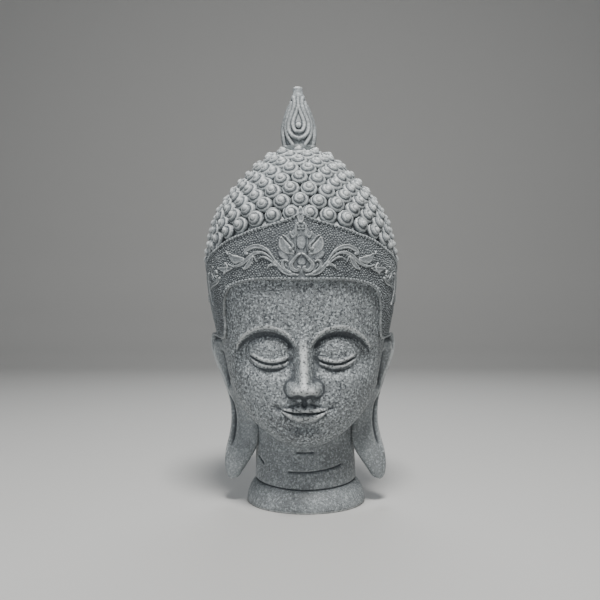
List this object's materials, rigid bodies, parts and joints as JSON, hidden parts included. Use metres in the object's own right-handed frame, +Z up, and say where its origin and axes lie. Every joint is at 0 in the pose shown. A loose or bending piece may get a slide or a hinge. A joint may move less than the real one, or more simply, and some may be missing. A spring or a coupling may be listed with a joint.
{
  "type": "buddha head sculpture",
  "caption": "Cast-stone style Buddha head with snail-shell curls, a scrolled diadem, long ear lobes and a flame on the crown, standing on its own flared neck foot.",
  "frame": {"origin": "centre of the flat underside of the neck foot", "axes": "+Z up, the face looks along -Y, +X is the figure's left-hand side"},
  "size_m": [0.1681, 0.1757, 0.3594],
  "materials": {
    "stone_resin": "dry silvery-grey stone-filled resin, fine dark pits, darker in the hollows"
  },
  "bodies": {
    "root": {"buddha_head": "stone_resin"}
  },
  "joints": []
}
